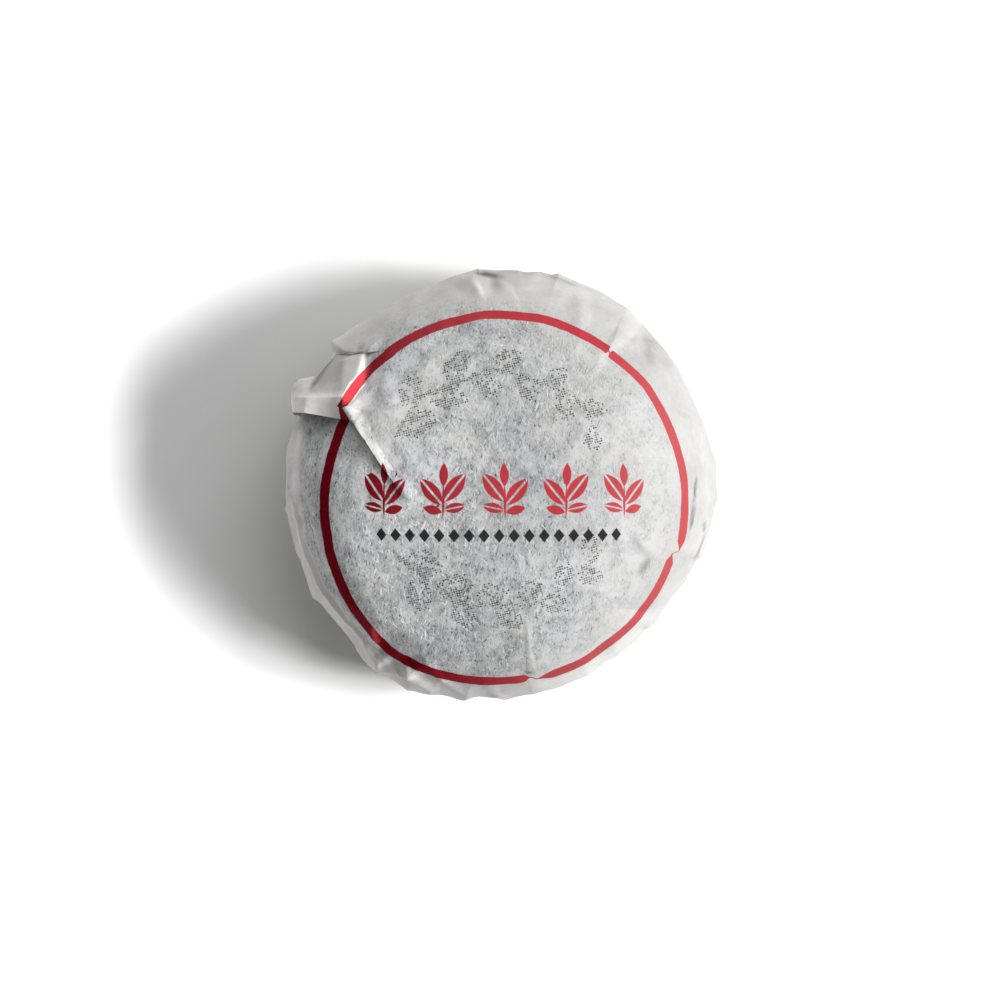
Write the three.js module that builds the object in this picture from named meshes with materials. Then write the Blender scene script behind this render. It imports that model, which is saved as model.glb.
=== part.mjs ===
// A single-serving tuocha: tea pressed into a small nest and shut in a round sheet of thin printed paper.
// Units are millimetres and +Z is up. The cake stands on its foot, crown up, with the paper's gathered
// edge tucked into the hollow underneath.
import * as THREE from "three";
import { LoftGeometry } from "three/addons/geometries/LoftGeometry.js";

// Driving sizes of the wrapped cake
const HEIGHT = 18.5;
const BELLY_RADIUS = 15.2;
const BELLY_HEIGHT = 6.2;
const CROWN_POWER = 2.6;
const FOOT_OUTER_RADIUS = 11;
const FOOT_INNER_RADIUS = 8;
const FOOT_PRESS = 0.15;
const HOLLOW_DEPTH = 3.8;
const GROOVE_RADIUS = 3.4;
const TAIL_CLEARANCE = 1.3;
const TAIL_TWIST_DEG = 40;

// Each place where the taut paper turns: its bearing from +X, how far out the paper stands on either side of it
// at the belly, and how far from the top of the crown it begins. Where the two sides differ, one layer of
// paper lies over the other and its edge shows as a step.
const FOLDS = [
  { bearing: -174, before: 14.9, after: 15.1, start: 9 },
  { bearing: -160, before: 15.25, after: 15.05, start: 19 },
  { bearing: -146, before: 15.4, after: 15.05, start: 15 },
  { bearing: -133, before: 15.15, after: 15.4, start: 19 },
  { bearing: -122, before: 15.85, after: 15.85, start: 15 },
  { bearing: -114, before: 15.5, after: 15.85, start: 16 },
  { bearing: -99, before: 15.8, after: 15.25, start: 15 },
  { bearing: -88, before: 15.1, after: 15.3, start: 19 },
  { bearing: -78, before: 15.35, after: 14.9, start: 11 },
  { bearing: -64, before: 15.25, after: 15.25, start: 15 },
  { bearing: -54, before: 15.05, after: 14.8, start: 19 },
  { bearing: -43, before: 14.95, after: 14.95, start: 15 },
  { bearing: -31, before: 14.8, after: 15.05, start: 19 },
  { bearing: -20, before: 14.9, after: 15.5, start: 13 },
  { bearing: -4, before: 15.6, after: 15.6, start: 15 },
  { bearing: 6, before: 15.55, after: 15.3, start: 19 },
  { bearing: 16, before: 15.45, after: 15.45, start: 16 },
  { bearing: 25, before: 15.35, after: 15.6, start: 19 },
  { bearing: 34, before: 15.65, after: 15.65, start: 16 },
  { bearing: 50, before: 15.5, after: 15.85, start: 12 },
  { bearing: 61, before: 15.8, after: 15.6, start: 19 },
  { bearing: 73, before: 15.8, after: 15.3, start: 15 },
  { bearing: 83, before: 15.25, after: 15.45, start: 19 },
  { bearing: 94, before: 15.2, after: 15.55, start: 15 },
  { bearing: 102, before: 15.2, after: 15.2, start: 15 },
  { bearing: 120, before: 14.5, after: 14.25, start: 19 },
  { bearing: 138, before: 15.3, after: 15.3, start: 13 },
  { bearing: 146, before: 14.7, after: 14.3, start: 13 },
  { bearing: 154, before: 16.2, after: 16.2, start: 12 },
  { bearing: 161, before: 15.7, after: 14.7, start: 6.5 },
  { bearing: 171, before: 14.85, after: 14.85, start: 9 },
];
const FOLD_GAP_DEG = 0.45;
const FOOT_SHARE = 0.6;

// The deepest fold runs on over the crown as one straight crease: how far that line passes from the middle,
// the bearing it faces, and how wide a sector of the paper it draws along
const CREASE_BEARING = 161;
const CREASE_OFFSET = 5.4;
const CREASE_FACES = 218;
const CREASE_INNER_RADIUS = 6.5;
const CREASE_OUTER_RADIUS = 12.2;
const CREASE_SECTOR_DEG = 80;

// How finely the paper is faceted
const COLUMN_PITCH_DEG = 5.5;
const ROW_PITCH = 1.05;
const POLE_RADIUS = 0.9;
const STRETCHES = 4;
const CURVE_POINTS = 24;

const { degToRad, radToDeg, lerp, smoothstep, clamp, euclideanModulo } = THREE.MathUtils;

// Half of the cake's section, from the top of the crown out over the belly, under the foot and up into the
// hollow to the end of the paper tail.
function halfSection() {
  const points = [];
  const add = (radius, height) => points.push(new THREE.Vector2(radius, height));
  const share = (i) => i / CURVE_POINTS;
  for (let i = 0; i <= CURVE_POINTS; i++) {
    const turn = (share(i) * Math.PI) / 2;
    const out = Math.sin(turn) ** (2 / CROWN_POWER);
    const up = Math.max(0, Math.cos(turn)) ** (2 / CROWN_POWER);
    add(BELLY_RADIUS * out, BELLY_HEIGHT + (HEIGHT - BELLY_HEIGHT) * up);
  }
  for (let i = 1; i <= CURVE_POINTS; i++) {
    const turn = (share(i) * Math.PI) / 2;
    const out = lerp(FOOT_OUTER_RADIUS, BELLY_RADIUS, Math.cos(turn));
    add(out, BELLY_HEIGHT * (1 - Math.sin(turn)) - FOOT_PRESS);
  }
  for (let i = 1; i <= CURVE_POINTS; i++) {
    const rise = (1 - Math.cos(share(i) * Math.PI)) / 2;
    add(lerp(FOOT_INNER_RADIUS, GROOVE_RADIUS, share(i)), lerp(-FOOT_PRESS, HOLLOW_DEPTH, rise));
  }
  for (let i = 1; i <= CURVE_POINTS; i++) {
    const fall = (1 - Math.cos(share(i) * Math.PI)) / 2;
    add(lerp(GROOVE_RADIUS, 0, share(i)), lerp(HOLLOW_DEPTH, TAIL_CLEARANCE, fall));
  }
  return points;
}

const section = new THREE.SplineCurve(halfSection());
section.arcLengthDivisions = STRETCHES * CURVE_POINTS * CURVE_POINTS;
const sectionLength = section.getLength();
const arcAfter = (stretches) => section.getLengths()[stretches * CURVE_POINTS * CURVE_POINTS];
const bellyArc = arcAfter(1);
const footArc = arcAfter(2);

// How far the crease draws its sector of the paper round, at a given radius from the axis.
function creaseSwing(radius, arc) {
  const along = clamp(radius, CREASE_INNER_RADIUS, CREASE_OUTER_RADIUS);
  const lineBearing = CREASE_FACES - radToDeg(Math.acos(CREASE_OFFSET / along));
  const onCrown = 1 - smoothstep(arc, bellyArc / 2, bellyArc);
  return (lineBearing - CREASE_BEARING) * onCrown;
}

// How far a fold's two sides stand out from the plain section at a given length along it.
function foldOffsets(fold, arc) {
  const grown = smoothstep(arc, fold.start, bellyArc);
  const tucked = lerp(1, FOOT_SHARE, smoothstep(arc, bellyArc, footArc));
  const gathered = 1 - clamp((arc - footArc) / (sectionLength - footArc), 0, 1);
  const share = grown * tucked * gathered;
  return { before: share * (fold.before - BELLY_RADIUS), after: share * (fold.after - BELLY_RADIUS) };
}

// The offset of paper drawn taut from one fold to the next: a straight chord at the belly, easing to the round
// of the crown.
function tautOffset(from, to, span, share, arc) {
  const slack = lerp(from, to, share);
  const near = Math.sin(span * (1 - share)) / (BELLY_RADIUS + from);
  const far = Math.sin(span * share) / (BELLY_RADIUS + to);
  const chord = Math.sin(span) / (near + far) - BELLY_RADIUS;
  const taut = smoothstep(arc, bellyArc / 2, bellyArc) * (1 - smoothstep(arc, bellyArc, footArc));
  return lerp(slack, chord, taut);
}

// One closed ring of the paper, at a given length along the section.
function paperRing(arc) {
  const middle = section.getPointAt(arc / sectionLength);
  const along = section.getTangentAt(arc / sectionLength);
  const swing = creaseSwing(middle.x, arc);
  const twist = TAIL_TWIST_DEG * smoothstep(arc, footArc, sectionLength);
  const ring = [];
  FOLDS.forEach((fold, k) => {
    const next = FOLDS[(k + 1) % FOLDS.length];
    const from = fold.bearing + FOLD_GAP_DEG / 2;
    const span = euclideanModulo(next.bearing - fold.bearing, 360) - FOLD_GAP_DEG;
    const steps = Math.max(2, Math.round(span / COLUMN_PITCH_DEG));
    const here = foldOffsets(fold, arc).after;
    const there = foldOffsets(next, arc).before;
    const columns = next.before === next.after ? steps - 1 : steps;
    for (let i = 0; i <= columns; i++) {
      const share = i / steps;
      const bearing = from + share * span;
      const aside = euclideanModulo(bearing - CREASE_BEARING + 180, 360) - 180;
      const drawn = Math.cos((clamp(aside / CREASE_SECTOR_DEG, -1, 1) * Math.PI) / 2) ** 2;
      const offset = tautOffset(here, there, degToRad(span), share, arc);
      const radius = middle.x - offset * along.y;
      const height = Math.max(0, middle.y + offset * along.x);
      const turn = degToRad(bearing + swing * drawn + twist);
      ring.push(new THREE.Vector3(radius * Math.cos(turn), radius * Math.sin(turn), height));
    }
  });
  return ring;
}

// The wrapped cake is one shut body: rings of paper from the tail in the hollow, round the belly, to the crown.
function wrappedCake() {
  const rows = Math.round((sectionLength - 2 * POLE_RADIUS) / ROW_PITCH);
  const rings = [];
  for (let i = 0; i <= rows; i++) {
    rings.push(paperRing(lerp(sectionLength - POLE_RADIUS, POLE_RADIUS, i / rows)));
  }
  const geometry = new LoftGeometry(rings, { closed: true, capStart: true, capEnd: true });
  geometry.computeBoundingBox();
  const centre = geometry.boundingBox.getCenter(new THREE.Vector3());
  geometry.translate(-centre.x, -centre.y, 0);
  return geometry;
}

const paper = new THREE.MeshStandardMaterial({ color: 0xcfcfcc, roughness: 0.85, metalness: 0 });
const cake = new THREE.Mesh(wrappedCake(), paper);
cake.name = "wrapped_tuocha";

const tuocha = new THREE.Group();
tuocha.add(cake);

export default tuocha;
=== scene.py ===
import math
from collections import namedtuple
from functools import partial

import bpy
import numpy as np
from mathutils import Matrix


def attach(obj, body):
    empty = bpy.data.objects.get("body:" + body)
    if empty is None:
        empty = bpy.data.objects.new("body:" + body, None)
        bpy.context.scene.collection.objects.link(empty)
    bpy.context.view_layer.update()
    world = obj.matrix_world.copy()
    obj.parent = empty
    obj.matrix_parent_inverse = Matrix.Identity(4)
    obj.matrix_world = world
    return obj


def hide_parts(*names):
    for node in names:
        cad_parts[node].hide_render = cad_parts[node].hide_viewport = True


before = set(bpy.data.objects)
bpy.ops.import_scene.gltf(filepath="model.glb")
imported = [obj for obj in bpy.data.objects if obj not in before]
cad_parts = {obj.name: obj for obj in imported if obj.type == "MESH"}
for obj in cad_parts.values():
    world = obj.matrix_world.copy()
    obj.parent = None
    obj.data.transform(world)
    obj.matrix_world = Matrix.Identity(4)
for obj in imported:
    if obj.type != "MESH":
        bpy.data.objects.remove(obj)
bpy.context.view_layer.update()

# The wrapped cake's driving sizes in millimetres, as in the solid but for a slightly rounder crown, and where
# its axis lies
MM = 0.001
HEIGHT = 18.5
BELLY_RADIUS = 15.2
BELLY_HEIGHT = 6.2
CROWN_POWER = 2.3
FOOT_OUTER_RADIUS = 11.0
FOOT_INNER_RADIUS = 8.0
FOOT_PRESS = 0.15
HOLLOW_DEPTH = 3.8
GROOVE_RADIUS = 3.4
TAIL_CLEARANCE = 1.3
TAIL_TWIST = 40.0
FOOT_SHARE = 0.6
RECENTRE = (-0.27, 0.05)

# Each place where the taut paper turns: its bearing from +X in degrees, how far out the paper stands before
# and after it at the belly, the arc from the crown where it begins, how far one layer laps over the other (an
# open slope where it is negative), how far the printed ring has crept outwards before it, and how much
# further after it
Fold = namedtuple("Fold", "bearing before after start lap creep creep_step", defaults=(0,))
FOLDS = [
    Fold(-174, 14.9, 15.05, 17, -0.3, -0.36),
    Fold(-160, 15.1, 15.08, 17, -0.3, -0.2),
    Fold(-147, 15.42, 15.2, 16, -0.4, 0.0),
    Fold(-133, 15.22, 15.32, 16, -0.5, 0.22),
    Fold(-123, 15.9, 15.9, 15, 0.0, 0.52),
    Fold(-114, 15.82, 15.92, 17, -0.5, 0.44),
    Fold(-106, 15.8, 15.66, 17, -0.5, 0.3),
    Fold(-97, 15.7, 15.5, 17, -0.4, 0.16),
    Fold(-88, 15.35, 15.38, 18, -0.3, 0.04),
    Fold(-79, 15.38, 15.35, 11, -0.35, -0.01, 0.21),
    Fold(-64, 15.3, 15.3, 15, 0.0, 0.05),
    Fold(-54, 15.2, 15.15, 18, -0.4, -0.08),
    Fold(-43, 15.1, 15.1, 15, 0.0, -0.05),
    Fold(-31, 15.12, 15.2, 18, -0.4, -0.11),
    Fold(-20, 15.45, 15.75, 12.5, -0.3, -0.11, 0.38),
    Fold(-4, 16.0, 16.0, 14, 0.0, 0.14),
    Fold(6, 15.95, 15.9, 18, -0.4, 0.13),
    Fold(16, 15.65, 15.65, 15, 0.0, 0.02),
    Fold(25, 15.45, 15.5, 18, -0.4, 0.02),
    Fold(34, 15.6, 15.6, 15, 0.0, 0.1),
    Fold(50.5, 15.72, 15.85, 13.3, -1.1, -0.06, 0.11),
    Fold(61, 15.76, 15.74, 18, -0.4, 0.1),
    Fold(74, 15.8, 15.6, 17, -0.3, 0.16),
    Fold(83, 15.36, 15.42, 18, -0.3, 0.1),
    Fold(94, 15.38, 15.44, 16.5, 0.1, 0.18),
    Fold(102, 15.2, 15.2, 14, 0.0, 0.05),
    Fold(116, 14.75, 14.7, 17, -0.4, 0.1),
    Fold(131, 15.6, 15.55, 14, 0.0, 0.15),
    Fold(133.5, 14.45, 14.45, 14, 0.0, 0.1),
    Fold(139, 14.4, 14.4, 14, 0.0, 0.12),
    Fold(143, 15.2, 15.2, 15, 0.0, 0.14),
    Fold(151.5, 15.3, 15.3, 15, 0.0, 0.12),
    Fold(155.5, 15.3, 15.3, 15, 0.0, 0.14),
    Fold(161, 15.3, 14.8, 6.5, 0.9, -0.55, 0.05),
    Fold(171, 14.9, 14.9, 12, 0.0, -0.5),
]
FOLD_GAP = 0.45
FOLD_EASE = 0.6
LAP_RUN = 4.0
LAP_REACH = 1.2
LIP_LIFT = 0.03
LIP_REACH = 0.8
LAP_LEAST_RADIUS = 1.5

# The deepest fold runs on over the crown as one straight crease: its bearing at the belly, the radii and
# bearings of its path, how wide a sector it draws along, and how deep the sheet under it dips beside it
CREASE_BEARING = 161.0
CREASE_RADII = (6.5, 6.74, 7.56, 7.96, 8.81, 9.74, 10.72, 11.22, 11.73, 12.2, 12.6, 13.1, 15.2)
CREASE_PATH = (185.0, 182.6, 173.9, 170.6, 165.0, 160.4, 156.6, 155.0, 153.5, 153.0, 156.5, 158.8, 161.0)
CREASE_SECTOR = 80.0
DIP_ARC = 12.4
DIP_RUN = 4.2
DIP_DEPTH = 0.55
DIP_REACH = 2.6
DIP_START = (5.5, 9.5)
UNDER_FLAP = 90.0

# The loose ledge on the left, standing out from the round: bearings where it begins, is full, holds and ends,
# its profile of radius and height from the crown outwards, and how soft the edges of its top are
LEDGE_BEARINGS = (183, 186, 215, 238)
LEDGE_PROFILE = [(13.1, 13.37), (13.95, 11.0), (14.5, 10.75), (15.2, 6.2)]
LEDGE_INNER_EDGE = 0.2
LEDGE_OUTER_EDGE = 0.6

# The flap on the upper left: the bearings of the columns that cross it, how far they run aside on the way
# out, where it is turned in and rounded off, and lines over it from the crown outwards, each through one
# corner of x, y and height per column
FLAP_START = 131.0
FLAP_TIP = 155.5
FLAP_COLUMNS = (133, 136.5, 139.5, 142, 146.5, 151.5, 155.5, 160.775)
SKEW_BEARINGS = (102, 131, 136.5, 142, 146.5, 151.5, 155.5, 161)
SKEW_TURNS = (0, 8.2, 9.2, 10, 7.8, 5.5, 4, 0)
SKEW_RADII = (11.5, 14.5)
FLAP_EASE = 2.0
FLAP_TURN = 0.1
FLAP_FADE = 3.0
TURNED_IN_BEARINGS = (133, 143, 147, 151)
TURNED_IN = (1, 1, 0.7, 0)
FLAP_ROUNDING = 5
ROUNDING_SHARE = 0.7
ROUNDED_AFTER = (0.2, 0.8)
ROUNDED_WINDOW = (133, 136, 156, 158)
FLAP_LINES = {
    "foot": [(-8.9, 9.6, 13.0), (-9.2, 9.05, 13.3), (-9.25, 8.3, 13.95), (-9.2, 7.6, 14.5),
             (-9.35, 6.85, 14.9), (-9.9, 6.15, 15.15), (-10.88, 5.36, 15.5), (-10.32, 4.45, 15.45)],
    "crest": [(-9.45, 9.45, 13.0), (-9.7, 8.95, 13.5), (-9.75, 8.35, 14.2), (-9.9, 7.75, 14.75),
              (-10.4, 7.2, 15.1), (-11.05, 6.2, 15.3), (-10.98, 5.4, 15.45), (-10.4, 4.42, 15.35)],
    "crease": [(-10.4, 9.2, 12.2), (-11.0, 8.85, 12.7), (-11.0, 8.15, 13.4), (-11.0, 7.4, 14.1),
               (-11.0, 6.85, 14.65), (-11.3, 6.1, 14.95), (-11.22, 5.4, 14.75), (-11.1, 4.5, 14.55)],
    "valley": [(-11.6, 9.35, 9.6), (-12.05, 8.7, 10.7), (-12.55, 7.95, 11.6), (-12.95, 7.3, 12.3),
               (-13.4, 6.75, 12.9), (-13.8, 6.15, 13.4), (-13.85, 5.6, 13.4), (-13.8, 5.0, 13.3)],
    "edge": [(-11.75, 9.45, 8.7), (-12.3, 8.4, 10.1), (-13.1, 7.65, 11.3), (-14.1, 7.55, 11.7),
             (-14.65, 6.95, 11.8), (-14.75, 6.15, 11.8), (-14.7, 5.6, 11.8), (-14.6, 5.0, 11.7)],
}

# The raised edge of the flap beside the crease: corners in plan with their lift, and flat facets between them
EDGE_CORNERS = {
    "edge_1": (-10.32, 4.45, 0.3), "edge_2": (-9.09, 2.62, 0.27), "edge_3": (-7.81, 0.72, 0.12),
    "edge_4": (-6.9, -0.35, 0.0), "foot_1": (-9.4, 5.2, 0.0), "foot_2": (-8.4, 2.75, 0.0),
    "foot_3": (-7.1, 0.6, 0.0),
}
EDGE_FACETS = [
    ("edge_1", "foot_1", "foot_2"), ("edge_1", "foot_2", "edge_2"), ("edge_2", "foot_2", "foot_3"),
    ("edge_2", "foot_3", "edge_3"), ("edge_3", "foot_3", "edge_4"),
]

# Creases seen on the crown and its rim: two ends in plan, height, the width of each flank, how dark the
# painted shade in it is, and the height of the wall below which that painted shade fades out
Crease = namedtuple("Crease", "x1 y1 x2 y2 height left right shade floor", defaults=(0, 0))
RING_DENT = Crease(-8.85, -10.0, -8.6, -11.3, 0.3, 0.36, 0.4)
FRONT_RIDGE = Crease(2.0, -9.8, 2.3, -13.3, 0.16, 0.3, 0.3)
CREASES = [
    Crease(-8.2, 10.3, -9.2, 9.4, 0.25, 0.4, 0.7),
    Crease(-9.6, 9.75, -9.8, 9.35, 0.0, 0.25, 0.25, 0.6, 11.5),
    Crease(-11.7, 9.2, -13.2, 6.9, 0.0, 0.24, 0.3, 0.62, 10.6),
    Crease(-7.2, 0.4, -6.0, -1.2, 0.2, 0.7, 0.7),
    Crease(-2.0, 15.0, -1.3, 13.2, 0.18, 0.4, 0.4),
    Crease(-1.7, 15.25, 0.0, 14.8, -0.3, 0.3, 0.3, 0.7, 8.6),
    Crease(3.6, 14.95, 5.3, 14.35, -0.15, 0.25, 0.3, 0.4, 8.6),
    Crease(-0.35, 14.9, -0.25, 13.7, -0.1, 0.5, 0.5, 0.3),
    Crease(7.6, 9.4, 9.6, 12.0, 0.16, 0.5, 0.9),
    Crease(7.1, 8.7, 6.7, 7.7, 0.08, 0.4, 0.4),
    Crease(10.4, 10.8, 10.6, 8.6, -0.2, 0.5, 0.6, 0.1),
    Crease(14.0, 0.4, 13.75, -1.6, -0.1, 0.13, 0.14, 0.75),
    Crease(13.8, -1.3, 13.55, -3.1, -0.12, 0.16, 0.16, 0.95),
    Crease(14.6, -2.8, 14.7, -3.3, -0.1, 0.25, 0.3, 0.8, 9.8),
    Crease(14.85, -3.4, 13.9, -5.5, -0.12, 0.16, 0.2, 0.45, 9.2),
    Crease(9.3, -3.9, 10.6, -5.2, -0.1, 0.35, 0.5, 0.22),
    Crease(10.6, -5.2, 9.9, -6.4, -0.12, 0.35, 0.5, 0.4),
    FRONT_RIDGE,
    Crease(1.75, -13.1, 2.55, -13.45, 0.0, 0.16, 0.16, 0.6),
    RING_DENT,
    Crease(-10.9, -10.0, -9.3, -12.5, -0.1, 0.2, 0.2, 0.1),
    Crease(-9.6, -11.0, -8.2, -13.3, 0.25, 0.3, 0.4),
    Crease(-8.6, -11.6, -7.4, -12.6, -0.2, 0.3, 0.3, 0.35),
    Crease(-7.3, -12.9, -4.8, -14.7, 0.25, 0.4, 0.4),
    Crease(-6.6, -12.7, -5.9, -13.5, 0.45, 0.35, 0.4),
    Crease(-8.95, -11.75, -8.6, -12.3, -0.15, 0.3, 0.3, 0.3),
    Crease(-7.6, -13.0, -7.0, -13.5, -0.12, 0.25, 0.25, 0.3),
    Crease(-5.7, -13.6, -5.2, -14.1, 0.3, 0.25, 0.3),
    Crease(-2.6, -15.9, -1.4, -15.8, -0.2, 0.25, 0.3, 0.35),
]
CREASE_END = 0.5
TOP_END = 2.0
FLOOR_EASE = 1.0

# How dark the painted shade is under the hem of the flap, how far out, and over which arcs it comes and goes
HEM_SHADE = 0.62
HEM_REACH = 1.0
HEM_ARCS = (12.5, 14)
HEM_END = 4.0

# The loose skirt of paper that stands off the wall on the left: bearings and radii of its upper edge, the
# bearings where it begins, is full, holds and ends, its height, and the pale strip along its edge
SKIRT_BEARINGS = (163, 172, 187, 197)
SKIRT_RADII = (13.8, 13.6, 13.5, 13.5)
SKIRT_WINDOW = (163, 167, 183, 197)
SKIRT_RISE = 0.2
SKIRT_EDGE = 0.4
SKIRT_WIDTH = 0.6
SKIRT_STRIP_EDGE = 0.4
SKIRT_DROP = 6.0

# How far from the crown the paper lies tight on the tea, and how pale it is where it is loose, by bearing
TONE_BEARINGS = (0, 30, 42, 52, 60, 75, 90, 105, 130, 165, 195, 225, 250, 278, 286, 320, 360)
CONTACT_ARCS = (14.0, 14.4, 14.5, 14.5, 14.4, 14.4, 14.4, 14.6, 15.3, 18.5, 18.5, 17.5, 17, 16, 15, 14, 14.0)
PALE_TONES = (0.33, 0.33, 0.14, 0.4, 0.45, 0.55, 0.54, 0.47, 0.3, 0.48, 0.55, 0.55, 0.5, 0.5, 0.6, 0.3, 0.33)
CONTACT_EASE = 2.5

# How much looser the paper is on the right, on the raised edge, on the front ridge and at the flap's point
TONE_SLANT = 0.3
RIGHT_CONTACT = 0.6
CONTACT_ACROSS = (1, 11)
EDGE_LOOSE = 0.3
EDGE_LIFT = 0.3
RIDGE_LOOSE = 0.8
FLAP_POINT = (-9.9, 5.3, 0.6)
POINT_LOOSE = 0.7

# How much paler loose paper is near the outline, on the flap, the ledge, the skirt and the open slope, and
# how much darker it is where the flap is turned in. Towards the outline on the right, on the flap's lit facet
# and on the open slope the paler tone is painted light; on the flap's outer panels and the ledge it is partly
# loose paper and partly painted light; where the flap is turned in the darker tone is painted shade.
OUTLINE_EASE = 1.0
OUTLINE_LIGHT_RIGHT = 0.2
PALE_ACROSS = (2, 10)
PALE_FRONT = 0.15
PALE_DOWN = (2, 8)
PALE_FRONT_ACROSS = (0, 5)
FLAP_HIGHLIGHT_INSIDE = 0.7
FLAP_HIGHLIGHT_OUTSIDE = 0.4
FLAP_OUT_BEARINGS = (139, 147, 151.5, 161)
FLAP_OUT_TONES = (0.03, 0.06, 0.42, 0.42)
FLAP_SHADE_TONE = 0.42
LEDGE_TONE = 0.42
SKIRT_TONE = 0.07
SLOPE_TONE = 0.12
SLOPE_WINDOW = (-2, -0.2, 0.2, 1.5)

# How much of the leaf shows through, with spots of x, y, more and spread on the flat sheet
LEAF_SHOWS = 0.74
LEAF_RIGHT = 0.5
LEAF_ACROSS = (1, 12)
LEAF_SPOTS = [(-8, 6, -0.55, 3.2), (-6, -8, 0.2, 4)]
LEAF_OUTSIDE = 0.1
OUTSIDE_ARCS = (13.2, 14.2)
OUTSIDE_LEFT = (4, 10)

# How light the sheet is painted, as painted light and shade, on the left and the right, on the rim at the
# front right, in a band outside the ring, and at spots of x, y, more and spread on the flat sheet
LIGHT_LEFT = 1.4
LIGHT_RIGHT = 0.85
LIGHT_ACROSS = (-12, 3)
LIGHT_WITHIN = (12.5, 13.5)
LIGHT_RIM = 0.12
RIM_BEARING = 306.0
RIM_SPREAD = 18.0
RIM_ARCS = (13.8, 16)
LIGHT_BAND = 0.06
BAND_ARCS = (13.3, 14)
BAND_END = (-2, 3)
BAND_ON_STRIP = 0.3
LIGHT_SPOTS = [
    (-10, -3, 0.3, 3.0), (-11.5, -5.5, 0.36, 2.2), (-6.8, -11.3, 0.38, 2.0), (2, -7.5, 0.12, 2.5),
    (-8, -9.5, 0.22, 2.5), (-9, 7.5, -0.1, 2.0), (-10.5, 4.8, -0.15, 1.2),
]

# Small pleats drawn at random round the wall
PLEATS = 170
PLEAT_SEED = 7
PLEAT_ARCS = (15, 33)
PLEAT_LEAN = 22
PLEAT_HALF_LENGTHS = (1.2, 4.5)
PLEAT_HEIGHTS = (0.04, 0.2)
PLEAT_FLANKS = (0.3, 1.3)
PLEAT_LEAST_RADIUS = 8

# Sharper gathers drawn at random from the belly down to the foot
GATHERS = 130
GATHER_SEED = 4
GATHER_ABOVE = 1.5
GATHER_BELOW = 4
GATHER_LEAN = 8
GATHER_HEIGHTS = (0.08, 0.32)
GATHER_FLANKS = (0.2, 1.2)
GATHER_GROWTH = 5
GATHER_END = (1, 4)

# Relief of the tea and of the paper: name, kind, where, grain and depth in millimetres, and settings
RELIEF = [
    ("tea_lumps", "CLOUDS", "tight", 1.3, 0.16, {"noise_depth": 2}),
    ("tea_swells", "CLOUDS", "tight", 4.0, 0.22, {"noise_depth": 1}),
    ("paper_crumples", "VORONOI", "loose", 4.0, 0.22, {"weight_1": -1.0, "weight_2": 1.0}),
    ("paper_cockle", "CLOUDS", "loose", 2.0, 0.08, {"noise_depth": 2}),
]
WEIGHT_LEVELS = 20

# How finely the paper is divided
SECTION_POINTS = 1500
FINE_ROWS = 165
COARSE_ROWS = 38
COLUMNS_PER_DEGREE = 1.2
FLAP_COLUMNS_PER_DEGREE = 2.4
LEAST_COLUMNS = 7
CLUSTER = 0.55
UNDERSIDE_SQUEEZE = 0.4
MAP_SPREAD = 2.04
SMOOTH_ANGLE = 75

# The crown leans a little towards the front right
LEAN = (0.2, -0.45)
LEAN_END = 1.0

# The print, in millimetres: the ring as it lies in plan, and the rest on the flat sheet
RING_CENTRE = (0.21, -1.01)
RING_RADIUS = 12.78
RING_BEARINGS = (0, 60, 120, 190, 260, 320, 360)
RING_STROKES = (0.58, 0.62, 0.67, 0.72, 0.64, 0.58, 0.58)
Taper = namedtuple("Taper", "bearing side spread")
TAPERS = [Taper(-79, "before", 2), Taper(-79, "after", 6), Taper(-20, "before", 3), Taper(-20, "after", 4)]
TAPER_LEAST = 0.12
BARE_FOLD = 50.5
BARE_GAP = 1.5
NO_RING = 25
# The painted highlight on the red ink: how strong it is in the dent, over which depths of the dent, and where
# it ends on the flap
DENT_HIGHLIGHT = 0.7
DENT_DEPTHS = (0.2, 0.75)
HIGHLIGHT_END = (153.5, 156)
MOTIF_CENTRE = (0.5, -0.05)
MOTIF_PITCH = 4.3
MOTIFS = 5
RULE_CENTRE = (0.1, -3.2)
RULE_PITCH = 1.05
RULE_LENGTH = 17 * RULE_PITCH
LOZENGE_HALF_WIDTH = 0.4
LOZENGE_HALF_HEIGHT = 0.5
SCREEN_PITCH = 0.17
SCREEN_TURN = 15

# A sprig of the printed row: middle of each leaf, heading, half length, half width, and if it has a midrib
SPRIG = [
    ((0.78, 0.2), 52, 1.3, 0.56, True),
    ((-0.82, -0.1), 130, 1.25, 0.54, True),
    ((0.04, 1.1), 88, 0.85, 0.32, False),
    ((0.8, -1.2), 12, 0.8, 0.36, True),
    ((-0.75, -1.35), 166, 0.7, 0.33, False),
    ((0.0, -0.75), 89, 1.3, 0.1, False),
]
SPRIG_RIB = 0.12

# The wreath printed in a fine screen: first and last bearing of each branch, and its number of leaves
BRANCHES = [(154, 26, 11), (212, 330, 11)]
WREATH_RADIUS = 8.3
LEAF_START = 0.3
LEAF_SPREAD = 40
LEAF_LENGTH = 3.3
LEAF_WIDTH = 2.0
LEAF_SHRINK = 0.035
LEAF_PALE_HALF = 0.5
LEAF_DARK_HALF = 0.9
MIDRIB_HALF = 0.06
TWIG_HALF = 0.13
TWIG_WAVE = 0.2
TWIG_WAVES = 9

# Colours of the paper and the inks
LOOSE_DARK = "949391"
LOOSE_PALE = "d3d2cf"
TIGHT_COOL = "bebec0"
TIGHT_WARM = "bebdbb"
LEAF_SHADOW = "7f8182"
LEAF_STROKE = "5c5e5f"
LEAF_FLECK = "323435"
FIBRE_PALE = "d3d4d4"
SCREEN_BLACK = "262728"
RULE_BLACK = "1b1b1c"
# Painted shade in folds too narrow for light
FOLD_SHADE = "2c2c2d"
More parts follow.
